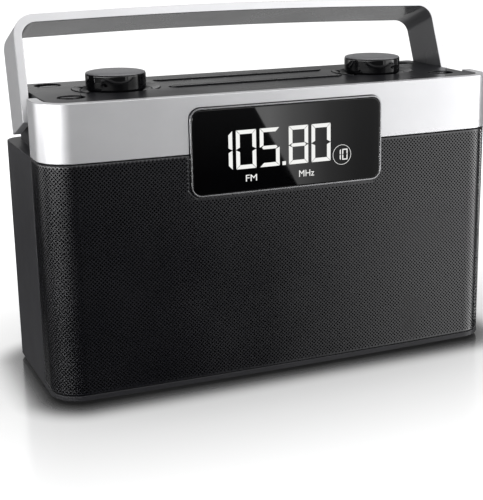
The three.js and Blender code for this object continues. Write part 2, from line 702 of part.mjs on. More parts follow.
const mast = new THREE.Group();
mast.position.set(antenna.x, antenna.y, antenna.pivotZ);
radio.add(mast);
const mastEnd = antenna.tubeEnd - antenna.pivotZ;
const mastStart = antenna.tubeTop - antenna.pivotZ - 4;
const pinHalf = antenna.slotHalf + 3;
const middleTube = mastTube(antenna.middleRadius, antenna.tipRadius + gap, mastEnd - 0.6, mastStart);
piece('antenna_pin', crossCylinder(0, 0, antenna.pinRadius, -pinHalf, pinHalf, 16), chrome, mast);
piece('antenna_base', mastBase(), chrome, mast);
piece('antenna_middle', middleTube, chrome, mast);
piece('antenna_tip', joined(
  standingCylinder(0, 0, antenna.tipRadius, mastEnd - 3, mastStart - 3.6, 12),
  standingCylinder(0, 0, antenna.radius, mastEnd - 8, mastEnd - 1, 16),
), chrome, mast);

// ---------------------------------------------------------------- place the origin under the middle of the radio
const extent = new THREE.Box3().setFromObject(radio);
radio.position.y = -(extent.min.y + extent.max.y) / 2;

export default radio;
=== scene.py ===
import json
import math

import bmesh
import bpy
from mathutils import Matrix, Vector


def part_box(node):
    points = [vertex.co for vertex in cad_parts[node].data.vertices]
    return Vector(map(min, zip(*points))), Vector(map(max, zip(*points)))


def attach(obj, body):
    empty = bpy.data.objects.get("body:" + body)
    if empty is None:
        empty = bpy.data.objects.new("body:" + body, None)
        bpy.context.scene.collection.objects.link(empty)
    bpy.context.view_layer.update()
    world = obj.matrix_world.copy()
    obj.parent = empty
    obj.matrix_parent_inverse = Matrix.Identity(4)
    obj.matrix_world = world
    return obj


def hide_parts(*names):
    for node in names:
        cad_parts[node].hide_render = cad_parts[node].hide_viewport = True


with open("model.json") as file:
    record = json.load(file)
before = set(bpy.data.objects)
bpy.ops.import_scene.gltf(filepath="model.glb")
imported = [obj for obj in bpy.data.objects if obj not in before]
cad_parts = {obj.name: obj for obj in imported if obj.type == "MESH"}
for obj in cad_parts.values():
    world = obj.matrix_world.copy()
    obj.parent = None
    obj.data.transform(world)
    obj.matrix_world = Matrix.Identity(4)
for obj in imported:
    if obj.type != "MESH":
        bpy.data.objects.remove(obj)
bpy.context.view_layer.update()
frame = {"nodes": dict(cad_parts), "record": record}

# ---------------------------------------------------------------- driving dimensions
# Millimetres, in the cabinet's own frame: z = 0 is the cabinet's underside, which stands on its feet.
MM = 0.001
FOOT_HEIGHT = 2.0
BODY = {"half_width": 131.0, "front": -43.8, "bow": 1.5, "corner": 17.0, "back": 51.0, "split": -15.3}
GRILLE = {"inset": 0.2, "bottom": 3.3, "top": 125.3, "pitch": 1.5, "hole": 0.53, "flange": 1.2,
          "first_row": 0.6, "border": 0.35, "plain_end": 1.2}
CLOTH = {"inset": 1.75, "margin": 2.0, "steps": 40}
WINDOW = {"half_width": 55.7, "bottom": 102.7, "top": 149.85, "corner": 6.1}
LENS_FRONT = -46.6
LENS_RECESS = 0.12
KNOB = {"x": 77.75, "y": 7.4, "radius": 16.2, "bottom": 154.2, "top": 163.4, "foot_round": 1.7,
        "brow_round": 0.5}
CAP = {"inset": 0.15, "seat_gap": 0.05, "height": 1.33, "edge": 0.1}
HANDLE = {"pivot_y": 20.4, "pivot_z": 146.0, "lean": 20.5, "width": 31.0, "reach": 48.0, "end": 11.2}
STRAP = {"foot": 129.9, "shoulder": 128.2, "arch": 1.6, "bar": 4.6, "arm": 4.4, "inner_round": 8,
         "outer_round": 12, "sweep": 3400}
PANEL_TOP = 155.4
CAMERA = {"at": (-256.7, -619.1, 244.1), "azimuth": 24.29, "elevation": 15.54, "roll": -0.43, "sensor": 36.0,
          "lens": 86.28, "shift_x": -0.1032, "shift_y": -0.0032}

# The cabinet's frame is moved so that the whole model is centred front to back.
# The back wall's place in the CAD model tells by how much.
SHIFT_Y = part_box("rear_shell")[1].y / MM - BODY["back"]


def place(x, y, z):
    """A point of the cabinet's frame, in millimetres, as a point of the row frame, in metres."""
    return Vector((x, y + SHIFT_Y, z + FOOT_HEIGHT)) * MM


# ---------------------------------------------------------------- materials
def new_material(name, color, roughness, metallic=0.0, **sockets):
    material = bpy.data.materials.new(name)
    material.use_nodes = True
    shader = material.node_tree.nodes["Principled BSDF"]
    shader.inputs["Base Color"].default_value = (*color, 1.0)
    shader.inputs["Roughness"].default_value = roughness
    shader.inputs["Metallic"].default_value = metallic
    for socket, value in sockets.items():
        shader.inputs[socket.replace("_", " ")].default_value = value
    return material, material.node_tree, shader


def textured_coordinate(tree, stretch):
    nodes, links = tree.nodes, tree.links
    coordinate = nodes.new("ShaderNodeTexCoord")
    mapping = nodes.new("ShaderNodeMapping")
    mapping.inputs["Scale"].default_value = stretch
    links.new(coordinate.outputs["Object"], mapping.inputs["Vector"])
    return mapping.outputs["Vector"]


def add_noise(tree, vector, scale, detail=3.0, roughness=0.55):
    noise = tree.nodes.new("ShaderNodeTexNoise")
    noise.inputs["Scale"].default_value = scale
    noise.inputs["Detail"].default_value = detail
    noise.inputs["Roughness"].default_value = roughness
    tree.links.new(vector, noise.inputs["Vector"])
    return noise.outputs["Fac"]


def add_range(tree, value, low, high):
    span = tree.nodes.new("ShaderNodeMapRange")
    span.inputs["From Min"].default_value = 0.3
    span.inputs["From Max"].default_value = 0.7
    span.inputs["To Min"].default_value = low
    span.inputs["To Max"].default_value = high
    tree.links.new(value, span.inputs["Value"])
    return span.outputs["Result"]


def add_bump(tree, shader, height, strength, depth_mm):
    bump = tree.nodes.new("ShaderNodeBump")
    bump.inputs["Strength"].default_value = strength
    bump.inputs["Distance"].default_value = depth_mm * MM
    tree.links.new(height, bump.inputs["Height"])
    tree.links.new(bump.outputs["Normal"], shader.inputs["Normal"])


def add_tint(tree, shader, value, dark, light, socket="Base Color"):
    ramp = tree.nodes.new("ShaderNodeValToRGB")
    ramp.color_ramp.elements[0].position = 0.35
    ramp.color_ramp.elements[1].position = 0.65
    ramp.color_ramp.elements[0].color = (*dark, 1.0)
    ramp.color_ramp.elements[1].color = (*light, 1.0)
    tree.links.new(value, ramp.inputs["Fac"])
    tree.links.new(ramp.outputs["Color"], shader.inputs[socket])


def shaded(color, spread):
    """A slightly darker and a slightly lighter version of a colour."""
    dark = tuple(channel * (1 - spread) for channel in color)
    light = tuple(channel * (1 + spread) for channel in color)
    return dark, light


def grained(name, color, roughness, spread=0.06, grain=1500.0, strength=0.25, depth_mm=0.05, metallic=0.0,
            stretch=(1.0, 1.0, 1.0), tint=0.06, **sockets):
    """Moulded or painted surface: fine grain in the bump, slow change in gloss, faint change in tone."""
    material, tree, shader = new_material(name, color, roughness, metallic, **sockets)
    vector = textured_coordinate(tree, stretch)
    slow = add_noise(tree, vector, 18.0)
    tree.links.new(add_range(tree, slow, roughness - spread, roughness + spread), shader.inputs["Roughness"])
    add_bump(tree, shader, add_noise(tree, vector, grain), strength, depth_mm)
    add_tint(tree, shader, add_noise(tree, vector, 45.0), *shaded(color, tint))
    return material


def turned_metal(name, color, roughness, metallic, centre, rings=900.0, strength=0.2):
    """A face turned on a lathe: fine rings round a vertical axis."""
    material, tree, shader = new_material(name, color, roughness, metallic)
    nodes, links = tree.nodes, tree.links
    coordinate = nodes.new("ShaderNodeTexCoord")
    offset = nodes.new("ShaderNodeVectorMath")
    offset.operation = "SUBTRACT"
    offset.inputs[1].default_value = centre
    flat = nodes.new("ShaderNodeVectorMath")
    flat.operation = "MULTIPLY"
    flat.inputs[1].default_value = (1.0, 1.0, 0.0)
    length = nodes.new("ShaderNodeVectorMath")
    length.operation = "LENGTH"
    links.new(coordinate.outputs["Object"], offset.inputs[0])
    links.new(offset.outputs["Vector"], flat.inputs[0])
    links.new(flat.outputs["Vector"], length.inputs[0])
    ring = nodes.new("ShaderNodeTexNoise")
    ring.noise_dimensions = "1D"
    ring.inputs["Scale"].default_value = rings
    ring.inputs["Detail"].default_value = 3.0
    links.new(length.outputs["Value"], ring.inputs["W"])
    gloss = add_range(tree, ring.outputs["Fac"], roughness - 0.05, roughness + 0.05)
    links.new(gloss, shader.inputs["Roughness"])
    add_bump(tree, shader, ring.outputs["Fac"], strength, 0.04)
    vector = textured_coordinate(tree, (1.0, 1.0, 1.0))
    add_tint(tree, shader, add_noise(tree, vector, 60.0), *shaded(color, 0.05))
    return material


SILVER = (0.67, 0.67, 0.685)
look = {
    "shell": grained("shell_plastic_look", (0.014, 0.014, 0.0165), 0.44, grain=2600.0, strength=0.3,
                     Specular_IOR_Level=0.35),
    "panel": grained("panel_plastic_look", (0.006, 0.006, 0.0075), 0.30, grain=2600.0, strength=0.25,
                     Specular_IOR_Level=0.28),
    "key": grained("key_plastic_look", (0.008, 0.008, 0.0095), 0.26, grain=2600.0, strength=0.2,
                   Specular_IOR_Level=0.4),
    "black": grained("black_plastic_look", (0.006, 0.006, 0.007), 0.5),
    "silver": grained("satin_silver_look", SILVER, 0.31, spread=0.02, grain=3200.0, strength=0.12,
                      depth_mm=0.03, metallic=0.72, tint=0.02),
    "bezel": grained("bezel_silver_look", (0.42, 0.42, 0.43), 0.22, spread=0.03, grain=3000.0, strength=0.05,
                     metallic=1.0, tint=0.02),
    # Painted shade: a dark material for the handle's inner faces, where the strap is in shade.
    "inner_shade": grained("handle_inner_shade_look", (0.062, 0.062, 0.066), 0.26, grain=2400.0, strength=0.2),
    "grille": grained("grille_paint_look", (0.0030, 0.0030, 0.0050), 0.25, spread=0.03, grain=4200.0,
                      strength=0.12, Specular_IOR_Level=0.85),
    "cloth": grained("speaker_cloth_look", (0.003, 0.003, 0.003), 0.95, grain=2200.0, strength=0.8, tint=0.3,
                     Specular_IOR_Level=0.1),
    "gloss": grained("knob_gloss_look", (0.002, 0.002, 0.0025), 0.045, spread=0.015, grain=160.0,
                     strength=0.02, tint=0.1),
    "lens": grained("display_gloss_look", (0.0004, 0.0004, 0.0006), 0.02, spread=0.01, grain=90.0,
                    strength=0.008, tint=0.1),
    "lcd": grained("lcd_look", (0.72, 0.76, 0.78), 0.3, tint=0.03),
    "rubber": grained("rubber_look", (0.012, 0.012, 0.012), 0.8, grain=1800.0, strength=0.5),
    "chrome": grained("bright_metal_look", (0.70, 0.70, 0.71), 0.14, spread=0.05, grain=700.0, strength=0.05,
                      metallic=1.0, stretch=(1.0, 1.0, 0.05), tint=0.02),
    "zinc": grained("zinc_steel_look", (0.42, 0.42, 0.43), 0.38, spread=0.1, grain=260.0, strength=0.2,
                    metallic=1.0, tint=0.15),
    "board": grained("circuit_board_look", (0.014, 0.10, 0.034), 0.4, spread=0.1, grain=420.0, strength=0.4,
                     tint=0.25),
    "cell": grained("cell_jacket_look", (0.26, 0.19, 0.04), 0.3, metallic=0.6, stretch=(0.2, 1.0, 1.0),
                    tint=0.12),
    "paper": grained("speaker_paper_look", (0.012, 0.012, 0.013), 0.9, grain=900.0, strength=0.8, tint=0.3),
    "ferrite": grained("ferrite_look", (0.020, 0.020, 0.022), 0.7, grain=1500.0, strength=0.6, tint=0.2),
}
for side, sign in (("volume", -1), ("tuning", 1)):
    centre = place(sign * KNOB["x"], KNOB["y"], 0)
    look[side + "_cap"] = turned_metal(side + "_cap_look", (0.130, 0.130, 0.136), 0.36, 0.0, centre)


def glowing(name, color, strength):
    """Back-lit white of the display: slightly uneven light behind a smooth window."""
    material, tree, shader = new_material(name, (0.02, 0.02, 0.02), 0.5)
    shader.inputs["Emission Strength"].default_value = strength
    vector = textured_coordinate(tree, (1.0, 1.0, 1.0))
    uneven = add_noise(tree, vector, 120.0)
    add_tint(tree, shader, uneven, *shaded(color, 0.02), socket="Emission Color")
    return material


look["digits"] = glowing("display_digits_look", (0.86, 0.86, 0.84), 1.0)


# ---------------------------------------------------------------- mesh helpers
SHARP_ANGLE = 28


def finished(name, mesh, material, body, replaces=(), edge=0.0, segments=2):
    """Makes the object of a mesh, rounds its sharp edges and hangs it on its CAD body."""
    item = bpy.data.objects.new(name, mesh)
    bpy.context.scene.collection.objects.link(item)
    mesh.polygons.foreach_set("use_smooth", [True] * len(mesh.polygons))
    if not mesh.materials:
        mesh.materials.append(material)
    if edge:
        bevel = item.modifiers.new("rounded_edges", "BEVEL")
        bevel.width = edge * MM
        bevel.segments = segments
        bevel.limit_method = "ANGLE"
        bevel.angle_limit = math.radians(SHARP_ANGLE)
        bevel.use_clamp_overlap = False
        bevel.loop_slide = False
        bevel.harden_normals = True
    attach(item, body)
    if replaces:
        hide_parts(*replaces)
    return item


def from_points(name, points, faces):
    mesh = bpy.data.meshes.new(name)
    mesh.from_pydata([tuple(p) for p in points], [], faces)
    mesh.validate()
    mesh.update()
    return mesh


BODY_OF = {node: body for body, nodes in frame["record"]["behaviour"]["bodies"].items() for node in nodes}
SLOT_OF = {row["node"]: row["material_slot"] for row in frame["record"]["subparts"]}


def refined(node, material, edge, segments=2, nudge=None):
    """A CAD node's own solid with flat faces joined and its sharp edges rounded."""
    work = bmesh.new()
    work.from_mesh(frame["nodes"][node].data)
    bmesh.ops.remove_doubles(work, verts=work.verts, dist=1e-6)
    bmesh.ops.dissolve_limit(work, angle_limit=math.radians(0.08), verts=work.verts, edges=work.edges)
    if nudge:
        nudge(work)
    mesh = bpy.data.meshes.new(node + "_fine")
    work.to_mesh(mesh)
    work.free()
    for attribute in ("custom_normal", "sharp_edge", "sharp_face"):
        if attribute in mesh.attributes:
            mesh.attributes.remove(mesh.attributes[attribute])
    return finished(node + "_fine", mesh, material, BODY_OF[node], [node], edge, segments)


def lathed(profile, segments=96):
    """A profile of [radius, height] points turned about Z, closed on the axis at both ends."""
    points, faces, rings = [], [], []
    for radius, height in profile:
        if radius == 0:
            rings.append([len(points)])
            points.append((0.0, 0.0, height))
            continue
        rings.append(list(range(len(points), len(points) + segments)))
        for step in range(segments):
            angle = 2 * math.pi * step / segments
            points.append((radius * math.cos(angle), radius * math.sin(angle), height))
    for lower, upper in zip(rings, rings[1:]):
        for step in range(segments):
            after = (step + 1) % segments
            a = lower[step % len(lower)]
            b = lower[after % len(lower)]
            c = upper[after % len(upper)]
            d = upper[step % len(upper)]
            faces.append([v for i, v in enumerate((a, b, c, d)) if v not in (a, b, c, d)[:i]])
    return points, faces


def rounded_outline(corners, steps=10):
    """Points of a closed outline through corners (x, y, radius), each rounded by an arc."""
    outline = []
    count = len(corners)
    for index, (x, y, radius) in enumerate(corners):
        here = Vector((x, y))
        to_before = (Vector(corners[index - 1][:2]) - here).normalized()
        to_after = (Vector(corners[(index + 1) % count][:2]) - here).normalized()
        if not radius:
            outline.append(here)
            continue
        half = to_before.angle(to_after) / 2
        start = here + to_before * (radius / math.tan(half))
        centre = here + (to_before + to_after).normalized() * (radius / math.sin(half))
        turn = (math.pi - 2 * half) * (-1 if to_before.cross(to_after) > 0 else 1)
        spoke = start - centre
        for step in range(steps + 1):
            angle = turn * step / steps
            cosine, sine = math.cos(angle), math.sin(angle)
            swung = Vector((spoke.x * cosine - spoke.y * sine, spoke.x * sine + spoke.y * cosine))
            outline.append(centre + swung)
    return outline


def prism_between(name, outline, to_front, to_back):
    """A solid between two copies of an outline, each placed by its own function."""
    count = len(outline)
    points = [to_front(p) for p in outline] + [to_back(p) for p in outline]
    faces = [list(range(count)), list(range(2 * count - 1, count - 1, -1))]
    faces += [[i, i + count, (i + 1) % count + count, (i + 1) % count] for i in range(count)]
    work = bmesh.new()
    verts = [work.verts.new(p) for p in points]
    for face in faces:
        work.faces.new([verts[i] for i in face])
    bmesh.ops.recalc_face_normals(work, faces=work.faces)
    mesh = bpy.data.meshes.new(name)
    work.to_mesh(mesh)
    work.free()
    return mesh


# ---------------------------------------------------------------- cabinet, panel, keys, display frame
refined("rear_shell", look["shell"], 0.5)
refined("battery_door", look["shell"], 0.35)
refined("silver_band", look["silver"], 0.35, 3)
refined("display_bezel", look["bezel"], 0.15)
refined("top_panel", look["panel"], 0.3)
refined("mains_inlet", look["black"], 0.3)
refined("phones_socket", look["chrome"], 0.3)
for index in range(1, 5):
    refined(f"foot_{index}", look["rubber"], 0.5)
for node in ("antenna_base", "antenna_middle", "antenna_tip"):
    refined(node, look["chrome"], 0.2)


def lens_behind_digits(work):
    """Moves the window's front face back a little, so that the lit figures stand out from it."""
    front_only = 0.5
    for vertex in work.verts:
        if vertex.co.y < place(0, LENS_FRONT + front_only, 0).y:
            vertex.co.y += LENS_RECESS * MM


refined("display_window", look["lens"], 0.45, 3, lens_behind_digits)


# ---------------------------------------------------------------- keys in the top panel
KEY_EDGE = 0.22
FLANGE = {"bottom": 151.0, "top": 152.3, "lip": 1.0}
ROUND_KEY = {"radius": 6.9, "recess": 3.4, "recess_edge": 0.08, "below_panel": 0.25, "tilt": 0.05}
ROUND_KEYS = {
    "front_left": (-108.5, -17), "front_right": (110, -17),
    "rear_left": (-109, 33), "rear_right": (111, 30),
}
PRESET = {"pitch": 20.0, "count": 5, "half_depth": 4.8, "tip": 4.6, "blunt": 0.08, "centre": 1.0, "gap": 0.55,
          "shadow": 1.0, "front_rise": 0.85, "fall": 0.85}
PRESET_ROWS = {"rear": 26.0, "front": -2.0}
SIDE_KEY = {"inner": 19.4, "outer": 23.6, "half_angle": 0.62, "inner_drop": 0.75, "rise": 1.2}


def grid_cap(work, spot, height_of, bottom, columns, rows):
    """A cap over the square (-1..1, -1..1) as placed by spot, with upright walls down to the bottom."""
    top, low = {}, {}
    for column in range(columns + 1):
        for row in range(rows + 1):
            x, y = spot(2 * column / columns - 1, 2 * row / rows - 1)
            top[column, row] = work.verts.new(place(x, y, height_of(x, y)))
            if column in (0, columns) or row in (0, rows):
                low[column, row] = work.verts.new(place(x, y, bottom))
    for column in range(columns):
        for row in range(rows):
            corners = [(column, row), (column + 1, row), (column + 1, row + 1), (column, row + 1)]
            work.faces.new([top[corner] for corner in corners])
    border = [(column, 0) for column in range(columns)] + [(columns, row) for row in range(rows)]
    border += [(column, rows) for column in range(columns, 0, -1)] + [(0, row) for row in range(rows, 0, -1)]
    for index, here in enumerate(border):
        before = border[index - 1]
        work.faces.new([top[before], low[before], low[here], top[here]])
    work.faces.new([low[here] for here in border])


def key(name, spot_with, height_of, columns, rows):
    """A key's cap and the lip that keeps it under the panel."""
    work = bmesh.new()
    grid_cap(work, spot_with(0.0), height_of, FLANGE["top"] - 0.1, columns, rows)
    grid_cap(work, spot_with(FLANGE["lip"]), lambda x, y: FLANGE["top"], FLANGE["bottom"], columns, 2)
    bmesh.ops.recalc_face_normals(work, faces=work.faces)
    mesh = bpy.data.meshes.new(name + "_fine")
    work.to_mesh(mesh)
    work.free()
    finished(name + "_fine", mesh, look["key"], name, [name], KEY_EDGE)


def round_key(name, x, y):
    """A disc level with the panel, with a crescent-shaped finger recess towards the panel's edge."""
    away = 1 if y > 0 else -1

    def spot_with(clearance):
        radius = ROUND_KEY["radius"] + clearance

        def spot(u, v):
            return x + radius * u * math.sqrt(1 - v * v / 2), y + radius * v * math.sqrt(1 - u * u / 2)
        return spot

    def height_of(at_x, at_y):
        radius = ROUND_KEY["radius"]
        reach = math.hypot(at_x - x, at_y - y + away * radius) / radius
        share = min(max((reach - 1.0) / ROUND_KEY["recess_edge"], 0.0), 1.0)
        rim = PANEL_TOP - ROUND_KEY["below_panel"] - ROUND_KEY["tilt"] * (at_y - y)
        return rim - ROUND_KEY["recess"] * share * share * (3 - 2 * share)

    key(name, spot_with, height_of, 40, 40)


def side_key(name, side, facing):
    """A short arc beside a knob whose top falls towards the knob."""
    middle = (SIDE_KEY["inner"] + SIDE_KEY["outer"]) / 2
    half = (SIDE_KEY["outer"] - SIDE_KEY["inner"]) / 2

    def spot_with(clearance):
        def spot(u, v):
            angle = facing + u * (SIDE_KEY["half_angle"] + clearance / middle)
            radius = middle + v * (half + clearance)
            return side * KNOB["x"] + radius * math.cos(angle), KNOB["y"] + radius * math.sin(angle)
        return spot

    def height_of(x, y):
        radius = math.hypot(x - side * KNOB["x"], y - KNOB["y"])
        inner_edge = PANEL_TOP - SIDE_KEY["inner_drop"]
        return inner_edge + SIDE_KEY["rise"] * (radius - SIDE_KEY["inner"]) / (2 * half)

    key(name, spot_with, height_of, 16, 6)


def preset_key(name, y, index):
    """One stretch of the lens-shaped row, standing proud of the panel along its front edge."""
    count, pitch = PRESET["count"], PRESET["pitch"]
    row_half = pitch * count / 2
    left = PRESET["centre"] + (index - count / 2) * pitch + PRESET["gap"]
    right = left + pitch - 2 * PRESET["gap"]
    left -= PRESET["tip"] / 2 if index == 0 else 0
    right += PRESET["tip"] / 2 if index == count - 1 else 0

    def spot_with(clearance):
        def spot(u, v):
            x = left + (right - left) * (u + 1) / 2
            to_tip = row_half + PRESET["tip"] / 2 - abs(x - PRESET["centre"])
            depth = PRESET["half_depth"] * min(1.0, PRESET["blunt"] + to_tip / PRESET["tip"])
            if v < 0 and not clearance:
                depth = min(depth, PRESET["half_depth"] - PRESET["shadow"])
            return x, y + v * (depth + clearance)
        return spot

    def height_of(at_x, at_y):
        share = (at_y - y + PRESET["half_depth"]) / (2 * PRESET["half_depth"])
        return PANEL_TOP + PRESET["front_rise"] - PRESET["fall"] * share

    key(name, spot_with, height_of, 24, 8)


for corner, (x, y) in ROUND_KEYS.items():
    round_key("round_key_" + corner, x, y)
for side, sign in (("volume", -1), ("tuning", 1)):
    side_key(side + "_key_left", sign, math.pi)
    side_key(side + "_key_right", sign, 0.0)
for row, y in PRESET_ROWS.items():
    for index in range(PRESET["count"]):
        preset_key(f"preset_key_{row}_{index + 1}", y, index)

# ---------------------------------------------------------------- perforated grille
def hull_track(inset):
    """A function from distance along the cabinet's front, counted from its middle, to a point and normal."""
    centre_x = BODY["half_width"] - BODY["corner"]
    centre_y = BODY["front"] + BODY["corner"]
    bow_radius = (centre_x ** 2 + BODY["bow"] ** 2) / (2 * BODY["bow"])
    bow_angle = math.asin(centre_x / bow_radius)
    bow_centre_y = BODY["front"] - BODY["bow"] + bow_radius
    radius = BODY["corner"] - inset
    bow_length = (bow_radius - inset) * bow_angle
    corner_length = radius * math.pi / 2
    side_length = BODY["split"] - centre_y

    def track(distance):
        sign = -1 if distance < 0 else 1
        along = abs(distance)
        if along <= bow_length:
            angle = along / (bow_radius - inset)
            x = (bow_radius - inset) * math.sin(angle)
            y = bow_centre_y - (bow_radius - inset) * math.cos(angle)
            normal = (math.sin(angle), -math.cos(angle))
        elif along <= bow_length + corner_length:
            angle = (along - bow_length) / radius
            x = centre_x + radius * math.sin(angle)
            y = centre_y - radius * math.cos(angle)
            normal = (math.sin(angle), -math.cos(angle))
        else:
            x = BODY["half_width"] - inset
            y = centre_y + along - bow_length - corner_length
            normal = (1.0, 0.0)
        return sign * x, y, sign * normal[0], normal[1]

    return track, bow_length + corner_length + side_length


def window_distance(along, height):
    """Signed distance from the display's cut-out, negative inside it."""
    middle = (WINDOW["bottom"] + WINDOW["top"]) / 2
    reach_x = abs(along) - WINDOW["half_width"] + WINDOW["corner"]
    reach_z = abs(height - middle) - (WINDOW["top"] - WINDOW["bottom"]) / 2 + WINDOW["corner"]
    outside = math.hypot(max(reach_x, 0.0), max(reach_z, 0.0))
    return outside + min(max(reach_x, reach_z), 0.0) - WINDOW["corner"]


def clipped(polygon, measure):
    """The part of a small polygon where measure(point) is positive."""
    kept = []
    for index, here in enumerate(polygon):
        before = polygon[index - 1]
        value_here, value_before = measure(here), measure(before)
        if (value_here > 0) != (value_before > 0):
            share = value_before / (value_before - value_here)
            kept.append(tuple(start + (end - start) * share for start, end in zip(before, here)))
        if value_here > 0:
            kept.append(here)
    return kept


def grille_mesh():
    """A thin sheet with round openings on a diagonal grid and a folded edge all round."""
    track, full_length = hull_track(GRILLE["inset"])
    half = GRILLE["pitch"] / math.sqrt(2)
    low, high = GRILLE["bottom"], GRILLE["top"]
    edges = [
        lambda p: p[0] + full_length, lambda p: full_length - p[0],
        lambda p: p[1] - low, lambda p: high - p[1],
        lambda p: window_distance(*p),
    ]
    holes_end = full_length - GRILLE["plain_end"]
    index_of, spots, faces, rim = {}, [], [], []

    def spot(along, height):
        rounded = (round(along, 3), round(height, 3))
        if rounded not in index_of:
            index_of[rounded] = len(spots)
            spots.append((along, height))
        return index_of[rounded]

    rows = int((high - low) / half) + 2
    columns = int(full_length / half / 2) + 2
    for row in range(-1, rows):
        height = low + GRILLE["first_row"] + row * half
        for column in range(-columns, columns + 1):
            along = (2 * column + row % 2) * half
            diamond = [
                (along + half, height), (along, height + half),
                (along - half, height), (along, height - half),
            ]
            clear = min(min(edge(corner) for corner in diamond) for edge in edges)
            if clear > GRILLE["border"] and abs(along) + half < holes_end:
                corners = [spot(*corner) for corner in diamond]
                ring = [
                    spot(along + GRILLE["hole"] * math.cos(step * math.pi / 4),
                         height + GRILLE["hole"] * math.sin(step * math.pi / 4))
                    for step in range(8)
                ]
                for quarter in range(4):
                    first, middle, last = (ring[(2 * quarter + step) % 8] for step in range(3))
                    faces.append([corners[quarter], corners[(quarter + 1) % 4], last, middle, first])
                rim.extend(ring)
                continue
            piece = diamond
            for edge in edges:
                piece = clipped(piece, edge) if len(piece) > 2 else []
            outline = [spot(*corner) for corner in piece]
            outline = [index for place_in, index in enumerate(outline) if index != outline[place_in - 1]]
            if len(outline) > 2:
                faces.append(outline)

    points, inner = [], []
    for along, height in spots:
        x, y, normal_x, normal_y = track(along)
        points.append(place(x, y, height))
        inner.append(Vector((-normal_x, -normal_y, 0)) * GRILLE["flange"] * MM)
    work = bmesh.new()
    verts = [work.verts.new(p) for p in points]
    for face in faces:
        try:
            work.faces.new([verts[i] for i in face])
        except ValueError:
            continue
    hole_verts = {verts[i] for i in rim}
    rim_edges = [
        edge for edge in work.edges
        if edge.is_boundary and not (edge.verts[0] in hole_verts and edge.verts[1] in hole_verts)
    ]
    offset_of = dict(zip(verts, inner))
    border = {vert for edge in rim_edges for vert in edge.verts}
    deep = {vert: work.verts.new(vert.co + offset_of[vert]) for vert in border}
    for edge in rim_edges:
        first, second = edge.verts
        corners = edge.link_faces[0].loops
        if any(corner.vert == first and corner.link_loop_next.vert == second for corner in corners):
            first, second = second, first
        work.faces.new([first, second, deep[second], deep[first]])
    work.normal_update()
    mesh = bpy.data.meshes.new("speaker_grille_fine")
    work.to_mesh(mesh)
    work.free()
    return mesh


finished("speaker_grille_fine", grille_mesh(), look["grille"], "cabinet", ["speaker_grille"])


def cloth_mesh():
    """Black cloth stretched behind the sheet, one strip on each side of the display and one below it."""
    margin = CLOTH["margin"]
    track, full_length = hull_track(CLOTH["inset"])
    notch = WINDOW["half_width"] + margin
    strips = [
        (-full_length + margin, -notch, GRILLE["top"] - margin),
        (-notch, notch, WINDOW["bottom"] - margin),
        (notch, full_length - margin, GRILLE["top"] - margin),
    ]
    steps = CLOTH["steps"]
    points, faces = [], []
    for start, end, top in strips:
        for step in range(steps + 1):
            along = start + (end - start) * step / steps
            x, y = track(along)[:2]
            points += [place(x, y, GRILLE["bottom"] + margin), place(x, y, top)]
            if step < steps:
                first = len(points) - 2
                faces.append([first, first + 1, first + 3, first + 2])
    return from_points("speaker_cloth", points, faces)


finished("speaker_cloth", cloth_mesh(), look["cloth"], "cabinet")


# ---------------------------------------------------------------- knobs
def quarter_turn(steps):
    """Sine and cosine of the angles from 0 to 90 degrees in equal steps."""
    angles = [math.pi / 2 * step / steps for step in range(steps + 1)]
    return [(math.sin(angle), math.cos(angle)) for angle in angles]


def knob_profile():
    """A straight side between two rounded edges, with a ring close to each round to keep the side flat."""
    radius, low, high = KNOB["radius"], KNOB["bottom"], KNOB["top"]
    foot, brow = KNOB["foot_round"], KNOB["brow_round"]
    hollow, ring = 0.5, 0.12
    profile = [(0, low + hollow), (radius - foot - 2.4, low + hollow), (radius - foot - 1.6, low)]
    profile += [(radius - foot * (1 - sine), low + foot * (1 - cosine)) for sine, cosine in quarter_turn(8)]
    profile += [(radius, low + foot + ring), (radius, high - brow - ring)]
    profile += [(radius - brow * (1 - cosine), high - brow * (1 - sine)) for sine, cosine in quarter_turn(4)]
    profile.append((0, high))
    return profile


def cap_profile():
    """A low dome whose outer part curves down steeply."""
    radius, seat = KNOB["radius"] - CAP["inset"], KNOB["top"] + CAP["seat_gap"]
    height, edge = CAP["height"], CAP["edge"]
    outwards, upwards = 0.4, 0.85
    profile = [(0, seat), (radius - 0.3, seat)]
    for sine, cosine in quarter_turn(12):
        profile.append((radius * cosine ** outwards, seat + edge + (height - edge) * sine ** upwards))
    profile[-1] = (0, seat + height)
    return profile


def standing_on(points, sign):
    return [place(x + sign * KNOB["x"], y + KNOB["y"], z) for x, y, z in points]


for side, sign in (("volume", -1), ("tuning", 1)):
    points, faces = lathed(knob_profile())
    mesh = from_points(side + "_knob_fine", standing_on(points, sign), faces)
    finished(side + "_knob_fine", mesh, look["gloss"], side + "_knob", [side + "_knob"])
    points, faces = lathed(cap_profile())
    mesh = from_points(side + "_knob_cap_fine", standing_on(points, sign), faces)
    finished(side + "_knob_cap_fine", mesh, look[side + "_cap"], side + "_knob",
             [side + "_knob_cap"])


